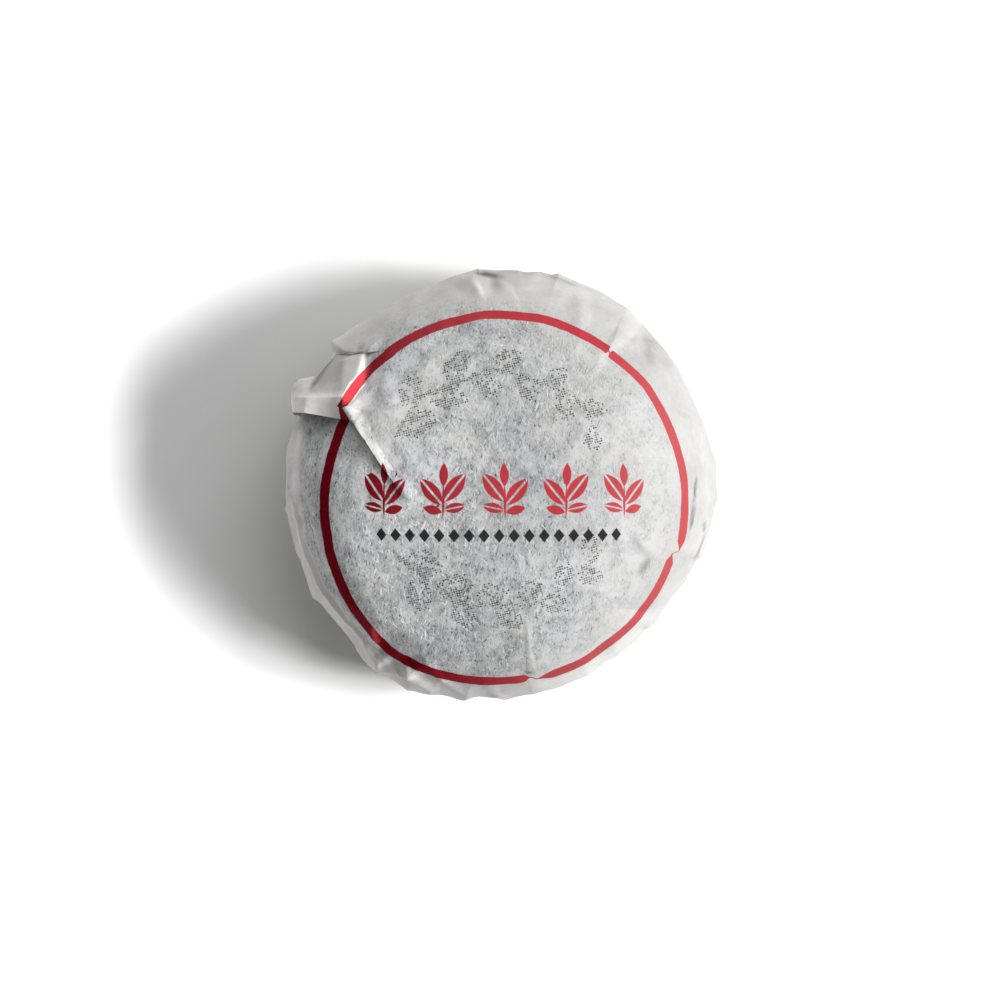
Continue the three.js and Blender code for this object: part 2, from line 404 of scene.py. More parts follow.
# Red ink in painted shade, and red ink under a painted highlight
RED_IN_SHADE = "6e0010"
RED_HIGHLIGHT = "c03d45"

# How the red changes over the sheet, darker on the left as painted shade and lighter on the right as painted
# light: which way, from where to where in millimetres, and to what colour
RED_CHANGES = [((1, 0.35, 0), -13, 1, "9a3037"), ((1, -0.25, 0), 3, 13, "9b4346")]

# Clouds in the loose paper: how many to the millimetre, how strong, and settings
LOOSE_CLOUDS = [(0.35, 0.08, {"Detail": 3}), (2.4, 0.05, {"Detail": 4, "Roughness": 0.65})]
BRIDGES_PER_MM = 0.7
TINTS_PER_MM = 0.3
WOBBLES_PER_MM = 2.2
WEAR_PER_MM = 4.0
TEETH_PER_MM = 3.0
TOOTH_DEPTH = 0.08

# Marks of leaf and fibre seen in the paper: heading, where the pattern starts, size in millimetres, the noise
# at which a mark starts and ends with its strength there, colour and settings. Leaf comes as strokes a tenth
# of a millimetre thick, mostly running one way, and as dark flecks; fibres are over half a millimetre long.
Mark = namedtuple("Mark", "heading start size low high at_low at_high colour settings")
STROKE_SETTINGS = {"Detail": 2, "Roughness": 0.55, "Distortion": 0.9}
FIBRE_SETTINGS = {"Detail": 1, "Distortion": 0.7}
FIBRE_HEADINGS = (66, 84, 102, 140)
LEAF_MARKS = [
    Mark(78, (78, 0, 0), (0.42, 0.12, 0.4), 0.33, 0.46, 0.8, 0, LEAF_STROKE, STROKE_SETTINGS),
    Mark(112, (112, 0, 0), (0.36, 0.13, 0.4), 0.31, 0.44, 0.8, 0, LEAF_STROKE, STROKE_SETTINGS),
    Mark(-20, (5, 0, 0), (0.16, 0.36, 0.3), 0.65, 0.75, 0, 1, LEAF_FLECK, {"Detail": 1}),
]
LEAF_MARKS += [
    Mark(heading, (0, heading, 0), (0.6, 0.11, 0.5), 0.62, 0.74, 0, 0.6, FIBRE_PALE, FIBRE_SETTINGS)
    for heading in FIBRE_HEADINGS
]

# The studio: three key lights side by side from the right, broad weak ones around them, behind and low on the
# left, each with its name, bearing and height in degrees, strength and spread in degrees
FLOOR_SIZE = 12
FLOOR_WHITE = "f9f9f9"
LIGHTS = [
    ("key", -8, 41.5, 1.75, 12), ("key_front", -17.5, 41.5, 1.6, 12), ("key_back", 1.5, 41.5, 1.6, 12),
    ("around", 28, 50, 0.75, 60), ("back", 80, 30, 1.0, 55), ("left", 168, 8, 0.14, 50),
]
FILL_STRENGTH = 0.1
CAMERA_PLACE = (0.09, -1.10, 450.0)
LENS = 223.8
SENSOR_WIDTH = 36


def ramp(value, low, high):
    """Rises smoothly from nought at the low end to one at the high end."""
    share = np.clip((value - low) / (high - low), 0, 1)
    return share * share * (3 - 2 * share)


def window(value, start, full, hold, end):
    """Rises from nought to one between the first two places, and falls back between the last two."""
    return ramp(value, start, full) * (1 - ramp(value, hold, end))


def mix(a, b, share):
    return a + (b - a) * share


def spot(x, y, middle_x, middle_y, spread):
    """A soft round spot: one at its middle, falling away over its spread."""
    return np.exp(-((x - middle_x) ** 2 + (y - middle_y) ** 2) / (2 * spread ** 2))


def flanks(across, left, right):
    """The height of a tent across its line: one at the line, nothing at the foot of either flank."""
    return np.clip(1 - np.where(across > 0, across / left, -across / right), 0, 1)


def fold_number(bearing):
    return [fold.bearing for fold in FOLDS].index(bearing)


def read(items, name, kind=float, width=1):
    """One value, or a row of values, of every item of a mesh."""
    values = np.empty(len(items) * width, kind)
    items.foreach_get(name, values)
    return values if width == 1 else values.reshape(-1, width)


def linear(code):
    """An sRGB hex colour as linear red, green, blue and alpha."""
    parts = [int(code[i:i + 2], 16) / 255 for i in (0, 2, 4)]
    return [c / 12.92 if c <= 0.04045 else ((c + 0.055) / 1.055) ** 2.4 for c in parts] + [1]


# Half of the cake's section, from the crown over the belly and the foot up into the hollow
share = np.linspace(0, 1, SECTION_POINTS)
turn = share * math.pi / 2
wave = (1 - np.cos(share * math.pi)) / 2
stretches = [
    (BELLY_RADIUS * np.sin(turn) ** (2 / CROWN_POWER),
     mix(BELLY_HEIGHT, HEIGHT, np.clip(np.cos(turn), 0, 1) ** (2 / CROWN_POWER))),
    (mix(FOOT_OUTER_RADIUS, BELLY_RADIUS, np.cos(turn)), mix(BELLY_HEIGHT, -FOOT_PRESS, np.sin(turn))),
    (mix(FOOT_OUTER_RADIUS, FOOT_INNER_RADIUS, share), np.full(SECTION_POINTS, -FOOT_PRESS)),
    (mix(FOOT_INNER_RADIUS, GROOVE_RADIUS, share), mix(-FOOT_PRESS, HOLLOW_DEPTH, wave)),
    (mix(GROOVE_RADIUS, 0, share), mix(HOLLOW_DEPTH, TAIL_CLEARANCE, wave)),
]
section_radius = np.concatenate([[0]] + [radius[1:] for radius, height in stretches])
section_height = np.concatenate([[HEIGHT]] + [height[1:] for radius, height in stretches])
steps = np.hypot(np.diff(section_radius), np.diff(section_height))
section_arc = np.concatenate([[0], np.cumsum(steps)])
belly_arc = section_arc[SECTION_POINTS - 1]
foot_arc = section_arc[2 * (SECTION_POINTS - 1)]
section_length = section_arc[-1]


def crown_arc(radius):
    """How far along the section a radius of the crown lies."""
    return np.interp(radius, section_radius[:SECTION_POINTS], section_arc[:SECTION_POINTS])


# Rows of the sheet run from crown to tail, and columns from fold to fold, closer together beside each fold
row_arc = np.concatenate([
    np.linspace(0, foot_arc, FINE_ROWS, endpoint=False)[1:],
    np.linspace(foot_arc, section_length, COARSE_ROWS + 1)[:-1],
])
column_panel = []
column_share = []
spans = []
for k, fold in enumerate(FOLDS):
    span = (FOLDS[(k + 1) % len(FOLDS)].bearing - fold.bearing) % 360 - FOLD_GAP
    on_flap = FLAP_START <= fold.bearing < CREASE_BEARING
    count = round(span * (FLAP_COLUMNS_PER_DEGREE if on_flap else COLUMNS_PER_DEGREE))
    even = np.linspace(0, 1, max(LEAST_COLUMNS, count))
    column_panel += [k] * len(even)
    column_share += list(even - CLUSTER * np.sin(2 * math.pi * even) / (2 * math.pi))
    spans.append(span)
panel = np.array(column_panel)
after_panel = (panel + 1) % len(FOLDS)
along = np.array(column_share)
span = np.array(spans)[panel]
arc = row_arc[:, None]
field = {name: np.array([getattr(f, name) for f in FOLDS], float) for name in Fold._fields}
nominal = field["bearing"][panel] + FOLD_GAP / 2 + along * span
base_radius = np.interp(arc, section_arc, section_radius)
base_height = np.interp(arc, section_arc, section_height)
tangent_r = np.interp(arc, section_arc, np.gradient(section_radius, section_arc))
tangent_z = np.interp(arc, section_arc, np.gradient(section_height, section_arc))
tangent_length = np.hypot(tangent_r, tangent_z)
tangent_r = tangent_r / tangent_length
tangent_z = tangent_z / tangent_length

# The ledge takes the place of the round between its first point and the belly
ledge = np.interp(nominal % 360, LEDGE_BEARINGS, (0, 1, 1, 0), left=0, right=0)
ledge_radius, ledge_height = np.array(LEDGE_PROFILE).T
run = np.concatenate([[0], np.cumsum(np.hypot(np.diff(ledge_radius), np.diff(ledge_height)))])
first = crown_arc(ledge_radius[0])
down = np.clip((arc - first) / (belly_arc - first), 0, 1) * run[-1]
on_ledge = ((arc > first) & (arc <= belly_arc)) * ledge
base_radius = mix(base_radius, np.interp(down, run, ledge_radius), on_ledge)
base_height = mix(base_height, np.interp(down, run, ledge_height), on_ledge)
ledge_top = on_ledge * window(down, run[1] - LEDGE_INNER_EDGE, run[1], run[2], run[2] + LEDGE_OUTER_EDGE)

# How far each fold has opened at each row
tucked = mix(1, FOOT_SHARE, ramp(arc, belly_arc, foot_arc))
gathered = 1 - np.clip((arc - foot_arc) / (section_length - foot_arc), 0, 1)


def opened(which):
    grown = ramp(arc, field["start"][which], belly_arc) ** FOLD_EASE
    return grown * tucked * gathered


def lapped(which, is_before):
    """How far a sheet slides at a fold: the one under a lap takes all of it, and an open slope is shared."""
    start = field["start"][which]
    lap = field["lap"][which]
    under = (field["before"] < field["after"])[which] == is_before
    share = np.where(lap > 0, np.where(under, 1.0, 0.0), 0.5)
    return ramp(arc, start, start + LAP_RUN) * gathered * lap * share


here = opened(panel) * (field["after"][panel] - BELLY_RADIUS)
there = opened(after_panel) * (field["before"][after_panel] - BELLY_RADIUS)

# Paper drawn taut from fold to fold is a straight chord at the belly and round on the crown
wide = np.radians(span)
near = np.sin(wide * (1 - along)) / (BELLY_RADIUS + here)
far = np.sin(wide * along) / (BELLY_RADIUS + there)
chord = np.sin(wide) / (near + far) - BELLY_RADIUS
taut = window(arc, belly_arc / 2, belly_arc, belly_arc, foot_arc)
offset = mix(mix(here, there, along), chord, taut)

# The straight crease draws its sector round, the flap runs aside, and the tail is twisted in the hollow
on_top = 1 - ramp(arc, belly_arc - TOP_END, belly_arc)
path = np.interp(base_radius, CREASE_RADII, CREASE_PATH)
swing = (path - CREASE_BEARING) * on_top
aside = (nominal - CREASE_BEARING + 180) % 360 - 180
drawn = np.cos(np.clip(aside / CREASE_SECTOR, -1, 1) * math.pi / 2) ** 2
twist = TAIL_TWIST * ramp(arc, foot_arc, section_length)
skew = np.interp(nominal, SKEW_BEARINGS, SKEW_TURNS, left=0, right=0)
skew = skew * ramp(base_radius, *SKEW_RADII) * (1 - ramp(arc, belly_arc, foot_arc))
plan_bearing = nominal + swing * drawn + skew
round_bearing = plan_bearing % 360

# Laps and lips, by the distance from the folds on either side
from_before = along * span * np.radians(1) * base_radius
to_after = (1 - along) * span * np.radians(1) * base_radius
slide = lapped(after_panel, True) * np.exp(-to_after / LAP_REACH)
slide = slide - lapped(panel, False) * np.exp(-from_before / LAP_REACH)
lap_turn = np.degrees(slide / np.maximum(base_radius, LAP_LEAST_RADIUS))
step_after = np.sign(field["before"] - field["after"])
outer_before = step_after[after_panel] > 0
outer_after = step_after[panel] < 0
lip = np.where(outer_before, opened(after_panel) * np.exp(-to_after / LIP_REACH), 0)
lip = lip + np.where(outer_after, opened(panel) * np.exp(-from_before / LIP_REACH), 0)
offset = offset + LIP_LIFT * lip

# The sheet under the flap dips beside the crease
dip = np.exp(-((arc - DIP_ARC) / DIP_RUN) ** 2) * ramp(arc, *DIP_START)
past_crease = np.radians((nominal - CREASE_BEARING) % 360) * base_radius
under_flap = (nominal - CREASE_BEARING) % 360 < UNDER_FLAP
offset = offset - np.where(under_flap, DIP_DEPTH * dip * np.exp(-past_crease / DIP_REACH), 0)

# The skirt on the left stands off the wall with a sharp upper edge
skirt_radius = np.interp(round_bearing, SKIRT_BEARINGS, SKIRT_RADII)
standing = base_radius - offset * tangent_z
skirt = ramp(standing, skirt_radius, skirt_radius + SKIRT_EDGE)
skirt = skirt * (1 - ramp(arc, belly_arc, belly_arc + SKIRT_DROP)) * window(round_bearing, *SKIRT_WINDOW)
offset = offset + SKIRT_RISE * skirt
strip_end = skirt_radius + SKIRT_WIDTH
strip = skirt * (1 - ramp(standing, strip_end, strip_end + SKIRT_STRIP_EDGE))

# The raised edge of the flap, over flat facets in plan
leaning = ramp(base_height, BELLY_HEIGHT, HEIGHT)
leaning = leaning * (1 - ramp(arc, belly_arc - LEAN_END, belly_arc))


def in_plan(radius, bearing):
    """Where a radius and a bearing from the leaning axis lie in the frame."""
    x = radius * np.cos(np.radians(bearing)) + RECENTRE[0] + LEAN[0] * leaning
    y = radius * np.sin(np.radians(bearing)) + RECENTRE[1] + LEAN[1] * leaning
    return x, y


plan_x, plan_y = in_plan(base_radius - offset * tangent_z, plan_bearing + lap_turn)
lifted = np.zeros_like(plan_x)
for names in EDGE_FACETS:
    (ax, ay, ah), (bx, by, bh), (cx, cy, ch) = [EDGE_CORNERS[name] for name in names]
    whole = (bx - ax) * (cy - ay) - (cx - ax) * (by - ay)
    of_b = ((plan_x - ax) * (cy - ay) - (cx - ax) * (plan_y - ay)) / whole
    of_c = ((bx - ax) * (plan_y - ay) - (plan_x - ax) * (by - ay)) / whole
    inside = (of_b >= 0) & (of_c >= 0) & (of_b + of_c <= 1)
    lifted = np.where(inside, ah + of_b * (bh - ah) + of_c * (ch - ah), lifted)
lifted = np.where(aside < 0, lifted, 0)


def tent(crease, x, y):
    """How much of a crease there is at a place: one along its line, none past its flanks and its ends."""
    length = math.hypot(crease.x2 - crease.x1, crease.y2 - crease.y1)
    ux = (crease.x2 - crease.x1) / length
    uy = (crease.y2 - crease.y1) / length
    down = (x - crease.x1) * ux + (y - crease.y1) * uy
    across = (y - crease.y1) * ux - (x - crease.x1) * uy
    ends = window(down, -CREASE_END, CREASE_END, length - CREASE_END, length + CREASE_END)
    return flanks(across, crease.left, crease.right) * ends * on_top


def sideways_from(bearing):
    """How far round the wall each point lies from a bearing."""
    turned = (nominal - bearing + 180) % 360 - 180
    return turned * math.radians(1) * np.maximum(base_radius, PLEAT_LEAST_RADIUS)


# Creases from the list, as tents over a line in plan
for crease in CREASES:
    offset = offset + crease.height * tent(crease, plan_x, plan_y)

# Random pleats down the wall, longer than they are wide
draw = np.random.default_rng(PLEAT_SEED)
for _ in range(PLEATS):
    sideways = sideways_from(draw.uniform(-180, 180))
    below = arc - draw.uniform(*PLEAT_ARCS)
    lean = math.radians(draw.normal(0, PLEAT_LEAN))
    half = draw.uniform(*PLEAT_HALF_LENGTHS)
    height = draw.choice([-1, 1]) * draw.uniform(*PLEAT_HEIGHTS)
    left, right = draw.uniform(*PLEAT_FLANKS, 2)
    down = below * math.cos(lean) + sideways * math.sin(lean)
    across = sideways * math.cos(lean) - below * math.sin(lean)
    offset = offset + height * flanks(across, left, right) * np.clip(1 - (down / half) ** 2, 0, 1)

# Random gathers below the belly, one flank often steeper than the other
draw = np.random.default_rng(GATHER_SEED)
for _ in range(GATHERS):
    sideways = sideways_from(draw.uniform(-180, 180))
    start = draw.uniform(belly_arc - GATHER_ABOVE, belly_arc + GATHER_BELOW)
    lean = math.tan(math.radians(draw.normal(0, GATHER_LEAN)))
    height = draw.choice([-1, 1]) * draw.uniform(*GATHER_HEIGHTS)
    left, right = draw.uniform(*GATHER_FLANKS, 2)
    across = sideways - lean * (arc - start)
    grown = window(arc, start, start + GATHER_GROWTH, foot_arc + GATHER_END[0], foot_arc + GATHER_END[1])
    offset = offset + height * flanks(across, left, right) * grown

# Where every point of the sheet lies
final_height = np.maximum(0, base_height + offset * tangent_r + lifted)
sheet_x, sheet_y = in_plan(base_radius - offset * tangent_z, plan_bearing + lap_turn + twist)

# The flap's columns run through the corners given, from the round down to the belly
flap_lit, flap_out, flap_shaded, flap_far = np.zeros((4, *sheet_x.shape))
flap_ring = np.full_like(sheet_x, np.nan)
belly_row = int(np.searchsorted(row_arc, belly_arc))
place = np.stack([sheet_x, sheet_y, final_height])
flap_fade = 1 - ramp(row_arc, belly_arc - FLAP_FADE, belly_arc)
for c in np.flatnonzero((nominal > FLAP_START) & (nominal < CREASE_BEARING)):
    bearing = nominal[c]
    weight = min(1, (bearing - FLAP_START) / (FLAP_COLUMNS[0] - FLAP_START))
    corners = [
        [np.interp(bearing, FLAP_COLUMNS, [corner[axis] for corner in line]) for axis in range(3)]
        for line in FLAP_LINES.values()
    ]
    corners = np.array(corners + [place[:, belly_row, c]])
    foot_radius = math.hypot(corners[0, 0] - RECENTRE[0] - LEAN[0], corners[0, 1] - RECENTRE[1] - LEAN[1])
    first = crown_arc(foot_radius)
    run = np.concatenate([[0], np.cumsum(np.linalg.norm(np.diff(corners, axis=0), axis=1))])
    at_crest, at_crease, at_valley = run[1:4]
    down = np.clip((row_arc - first) / (row_arc[belly_row] - first), 0, 1) * run[-1]
    easing = ramp(row_arc, first - FLAP_EASE, first) * (row_arc < first) * weight
    beyond = (row_arc >= first) & (row_arc < row_arc[belly_row])
    for axis in range(3):
        round_there = np.interp(first, row_arc, place[axis, :, c])
        place[axis, :, c] += easing * (corners[0, axis] - round_there)
        laid = mix(place[axis, :, c], np.interp(down, run, corners[:, axis]), weight)
        place[axis, :, c] = np.where(beyond, laid, place[axis, :, c])
    past_crest = ramp(down, at_crest, at_crest + FLAP_TURN)
    past_fold = ramp(down, at_crease - FLAP_TURN, at_crease + FLAP_TURN)
    past_valley = ramp(down, at_valley - FLAP_TURN, at_valley + FLAP_TURN)
    flap_lit[:, c] = beyond * weight * (1 - past_crest)
    flap_out[:, c] = beyond * weight * past_crest * flap_fade
    flap_far[:, c] = np.where(beyond, down - at_crease, 0)
    if bearing > FLAP_TIP:
        half = (at_crease - at_crest) / 2
        flap_ring[:, c] = (down - at_crest - half) / half
    # Painted shade where the flap is turned in, between its crease and its valley
    turned_in = np.interp(bearing, TURNED_IN_BEARINGS, TURNED_IN)
    flap_shaded[:, c] = flap_out[:, c] * turned_in * past_fold * (1 - past_valley)

# Outside its first creases the flap is rounded off, but for its hem
rounded = ramp(flap_far, *ROUNDED_AFTER) * window(nominal, *ROUNDED_WINDOW)
for _ in range(FLAP_ROUNDING):
    around = sum(np.roll(place, step, axis) for step in (-1, 1) for axis in (1, 2)) / 4
    place = place + ROUNDING_SHARE * rounded * (around - place)
sheet_x, sheet_y, final_height = place

# Painted shade: little light gets into some creases, nor under the hem of the flap
shade = HEM_SHADE * np.exp(-(past_crease / HEM_REACH) ** 2)
shade = np.where(under_flap, shade * window(arc, *HEM_ARCS, belly_arc - HEM_END, belly_arc), 0)
for crease in CREASES:
    dark = crease.shade * ramp(tent(crease, sheet_x, sheet_y), 0, 1)
    shade = np.maximum(shade, dark * ramp(final_height, crease.floor - FLOOR_EASE, crease.floor))

# The printed ring, as a distance from its middle line in half strokes
flat_x = arc * np.cos(np.radians(plan_bearing))
flat_y = arc * np.sin(np.radians(plan_bearing))
creep = mix((field["creep"] + field["creep_step"])[panel], field["creep"][after_panel], along)
stroke = np.interp(nominal % 360, RING_BEARINGS, RING_STROKES)
for taper in TAPERS:
    which = fold_number(taper.bearing)
    if taper.side == "before":
        apart = np.where(after_panel == which, (1 - along) * span, 360)
    else:
        apart = np.where(panel == which, along * span, 360)
    stroke = stroke * mix(TAPER_LEAST, 1, ramp(apart, 0, taper.spread))
ring = np.hypot(sheet_x - RING_CENTRE[0], sheet_y - RING_CENTRE[1]) - RING_RADIUS - creep
ring = np.where(arc < belly_arc, ring / (stroke / 2), NO_RING)
ring = np.where(np.isnan(flap_ring), ring, flap_ring)
bare = fold_number(BARE_FOLD)
beside = ((panel == bare) & (along == 0)) | ((after_panel == bare) & (along == 1))
off_ring = np.where(ring < 0, np.minimum(ring, -BARE_GAP), np.maximum(ring, BARE_GAP))
ring = np.where(beside, off_ring, ring)

# Where the paper is tight on the tea
contact_arc = np.interp(round_bearing, TONE_BEARINGS, CONTACT_ARCS)
contact = 1 - ramp(arc, contact_arc - CONTACT_EASE, contact_arc + CONTACT_EASE)
contact = contact * mix(1, RIGHT_CONTACT, ramp(flat_x + TONE_SLANT * flat_y, *CONTACT_ACROSS))
contact = contact * (1 - strip) * (1 - ledge_top)
contact = contact * (1 - EDGE_LOOSE * np.clip(lifted / EDGE_LIFT, 0, 1)) * (1 - flap_lit) * (1 - flap_out)
contact = contact * (1 - RIDGE_LOOSE * tent(FRONT_RIDGE, sheet_x, sheet_y))
contact = contact * (1 - POINT_LOOSE * spot(sheet_x, sheet_y, *FLAP_POINT) * (aside < 0))

# How pale the loose paper is: paler towards the outline on the right and at the front, and on lit folds. The
# paler tone on the right and on lit folds is painted light, and the darker tone where the flap is turned in
# is painted shade
pale = np.interp(round_bearing, TONE_BEARINGS, PALE_TONES)
to_outline = ramp(arc, contact_arc - OUTLINE_EASE, belly_arc - OUTLINE_EASE)
pale = pale + to_outline * OUTLINE_LIGHT_RIGHT * ramp(flat_x, *PALE_ACROSS)
to_front = ramp(-flat_y, *PALE_DOWN) * ramp(flat_x, *PALE_FRONT_ACROSS)
pale = pale + to_outline * PALE_FRONT * to_front
flap_highlight_tone = np.where(ring < 0, FLAP_HIGHLIGHT_INSIDE, FLAP_HIGHLIGHT_OUTSIDE)
flap_out_tone = np.interp(nominal, FLAP_OUT_BEARINGS, FLAP_OUT_TONES)
pale = pale + flap_highlight_tone * flap_lit + flap_out_tone * flap_out - FLAP_SHADE_TONE * flap_shaded
pale = pale + np.maximum(LEDGE_TONE * ledge_top, SKIRT_TONE * strip)
past_bare = np.where(panel == bare, along * span, np.where(after_panel == bare, (along - 1) * span, 360))
pale = pale + SLOPE_TONE * window(past_bare, *SLOPE_WINDOW)

# Where a painted highlight falls on the red ink: on the flap's lit fold and in the dent
dented = DENT_HIGHLIGHT * ramp(tent(RING_DENT, sheet_x, sheet_y), *DENT_DEPTHS)
painted_highlight = np.maximum(flap_lit * (1 - ramp(nominal, *HIGHLIGHT_END)), dented)

# How much of the leaf shows through, least on the upper left and the right
rough = LEAF_SHOWS - LEAF_RIGHT * ramp(flat_x - TONE_SLANT * flat_y, *LEAF_ACROSS)
for x, y, more, spread in LEAF_SPOTS:
    rough = rough + more * spot(flat_x, flat_y, x, y, spread)
on_left = ramp(-flat_x, *OUTSIDE_LEFT)
rough = rough - LEAF_OUTSIDE * ramp(arc, *OUTSIDE_ARCS) * on_left

# Painted light and shade: the sheet is painted lighter on the left than on the right and on the rim at the
# front right, darker in a band outside the ring, and lighter at some spots and darker at others
within_ring = 1 - ramp(arc, *LIGHT_WITHIN)
light = mix(LIGHT_LEFT, LIGHT_RIGHT, ramp(sheet_x, *LIGHT_ACROSS))
for x, y, more, spread in LIGHT_SPOTS:
    light = light + more * spot(flat_x, flat_y, x, y, spread) * within_ring
rim = np.exp(-((round_bearing - RIM_BEARING) / RIM_SPREAD) ** 2) * ramp(arc, *RIM_ARCS)
light = light + LIGHT_RIM * rim
band = window(arc, *BAND_ARCS, belly_arc + BAND_END[0], belly_arc + BAND_END[1]) * on_left
band = band * (1 - flap_out) * (1 - flap_lit) * (1 - ledge_top) * (1 - BAND_ON_STRIP * strip)
light = light - LIGHT_BAND * band


def leaf_tone(x, y, base, heading, length, width):
    """How dark a printed leaf is at a place: one half darker than the other, with a pale midrib."""
    ux, uy = math.cos(math.radians(heading)), math.sin(math.radians(heading))
    down = ((x - base[0]) * ux + (y - base[1]) * uy) / length
    across = ((y - base[1]) * ux - (x - base[0]) * uy) / width
    inside = np.clip(4 * down * (1 - down), 0, 1) * 0.5 - np.abs(across)
    half = np.where(across > 0, LEAF_PALE_HALF, LEAF_DARK_HALF)
    return np.where(np.abs(across) < MIDRIB_HALF, 0.0, half) * ramp(inside, 0, MIDRIB_HALF)


# A wreath of leaves, as the tone of a fine black screen
stipple = np.zeros_like(flat_x)
for first, last, leaves in BRANCHES:
    way = math.copysign(1, last - first)
    on_branch = (round_bearing > min(first, last)) & (round_bearing < max(first, last))
    twig_arc = WREATH_RADIUS + TWIG_WAVE * np.sin(np.radians(round_bearing * TWIG_WAVES))
    twig = (np.abs(arc - twig_arc) < TWIG_HALF) & on_branch
    stipple = np.maximum(stipple, np.where(twig, LEAF_DARK_HALF, 0))
    for i in range(leaves):
        at = math.radians(mix(first, last, (i + LEAF_START) / leaves))
        stem = (WREATH_RADIUS * math.cos(at), WREATH_RADIUS * math.sin(at))
        turned = math.degrees(at) + way * (90 - LEAF_SPREAD if i % 2 else 90 + LEAF_SPREAD)
        small = 1 - LEAF_SHRINK * i
        tone = leaf_tone(flat_x, flat_y, stem, turned, LEAF_LENGTH * small, LEAF_WIDTH * small)
        stipple = np.maximum(stipple, tone)

# The sheet begins as a sphere, and each of its points is moved to its place
bpy.ops.object.select_all(action="DESELECT")
columns = len(column_panel)
rows = len(row_arc)
bpy.ops.mesh.primitive_uv_sphere_add(segments=columns, ring_count=rows + 1, radius=1, location=(0, 0, 0))
wrap = bpy.context.object
wrap.name = "paper_wrap"
mesh = wrap.data
mesh.name = "paper_wrap"
points = read(mesh.vertices, "co", width=3)
polar = np.arccos(np.clip(points[:, 2], -1, 1))
row = np.round(polar / (math.pi / (rows + 1))).astype(int)
column = np.round(np.arctan2(points[:, 1], points[:, 0]) / (2 * math.pi / columns)).astype(int) % columns
crown_pole = row == 0
tail_pole = row == rows + 1
inner_row = np.clip(row - 1, 0, rows - 1)


def at_points(values, crown_value, tail_value):
    """A value of each point of the sheet, from the grid of rows and columns and its two poles."""
    spread = np.broadcast_to(values, (rows, columns))[inner_row, column]
    spread = np.where(crown_pole, crown_value, spread)
    return np.where(tail_pole, tail_value, spread)


points[:, 0] = at_points(sheet_x, RECENTRE[0] + LEAN[0], RECENTRE[0])
points[:, 1] = at_points(sheet_y, RECENTRE[1] + LEAN[1], RECENTRE[1])
points[:, 2] = at_points(final_height, HEIGHT, TAIL_CLEARANCE)
mesh.vertices.foreach_set("co", (points * MM).ravel())
mesh.update()

# The sheet's own map: the paper laid flat as a disc, its underside drawn in
map_arc = np.minimum(arc, foot_arc) + np.maximum(0, arc - foot_arc) * UNDERSIDE_SQUEEZE
map_edge = foot_arc + (section_length - foot_arc) * UNDERSIDE_SQUEEZE
map_size = MAP_SPREAD * map_edge
point_arc = at_points(map_arc, 0, map_edge)
point_bearing = np.radians(at_points(plan_bearing, 0, 0))
corner_point = read(mesh.loops, "vertex_index", int)
corner_x = np.cos(point_bearing)[corner_point]
corner_y = np.sin(point_bearing)[corner_point]
first_corner = read(mesh.polygons, "loop_start", int)
corner_count = read(mesh.polygons, "loop_total", int)

# At the tail, each triangle's corner on the pole takes the bearing between its other two
for turn_by in range(3):
    corners = first_corner[corner_count == 3][:, None] + (np.arange(3) + turn_by) % 3
    corners = corners[tail_pole[corner_point[corners[:, 0]]]]
    corner_x[corners[:, 0]] = corner_x[corners[:, 1:]].mean(axis=1)
    corner_y[corners[:, 0]] = corner_y[corners[:, 1:]].mean(axis=1)
flat_map = np.empty((len(mesh.loops), 2))
flat_map[:, 0] = 0.5 + point_arc[corner_point] * corner_x / map_size
flat_map[:, 1] = 0.5 + point_arc[corner_point] * corner_y / map_size
while mesh.uv_layers:
    mesh.uv_layers.remove(mesh.uv_layers[0])
layer = mesh.uv_layers.new(name="OFBake")
layer.data.foreach_set("uv", flat_map.ravel())

# What the paper's look needs at each point, painted light, shade and highlight among them: values over the
# sheet, at the crown and at the tail
SHEET_VALUES = {
    "ring": (ring, -NO_RING, NO_RING),
    "contact": (contact, 1, 0),
    "stipple": (stipple, 0, 0),
    "pale": (pale, 0.5, 0.5),
    "shade": (shade, 0, 0),
    "rough": (rough, 0.7, 0),
    "painted_highlight": (painted_highlight, 0, 0),
    "light": (light, 0.9, 1),
}
for name, (values, crown_value, tail_value) in SHEET_VALUES.items():
    attribute = mesh.attributes.new(name, "FLOAT", "POINT")
    attribute.data.foreach_set("value", at_points(values, crown_value, tail_value))

# Where the paper is tight on the tea and where it is loose
tight = at_points(contact, 1, 0)
for name, weight in (("tight", tight), ("loose", 1 - tight)):
    group = wrap.vertex_groups.new(name=name)
    level = np.round(weight * WEIGHT_LEVELS).astype(int)
    for step in range(1, WEIGHT_LEVELS + 1):
        group.add(np.flatnonzero(level == step).tolist(), step / WEIGHT_LEVELS, "REPLACE")

# Lumps of tea under the crown, and crumples in the loose paper
for name, kind, group, grain, depth, settings in RELIEF:
    texture = bpy.data.textures.new(name, kind)
    texture.noise_scale = grain * MM
    for key, value in settings.items():
        setattr(texture, key, value)
    modifier = wrap.modifiers.new(name, "DISPLACE")
    modifier.texture = texture
    modifier.texture_coords = "LOCAL"
    modifier.vertex_group = group
    modifier.strength = depth * MM
    modifier.mid_level = 0.5
    bpy.ops.object.modifier_apply(modifier=name)

# Nothing goes below the surface that the cake stands on
moved = read(mesh.vertices, "co", width=3)
moved[:, 2] = np.maximum(moved[:, 2], 0)
mesh.vertices.foreach_set("co", moved.ravel())
mesh.update()
bpy.ops.object.shade_smooth_by_angle(angle=math.radians(SMOOTH_ANGLE))

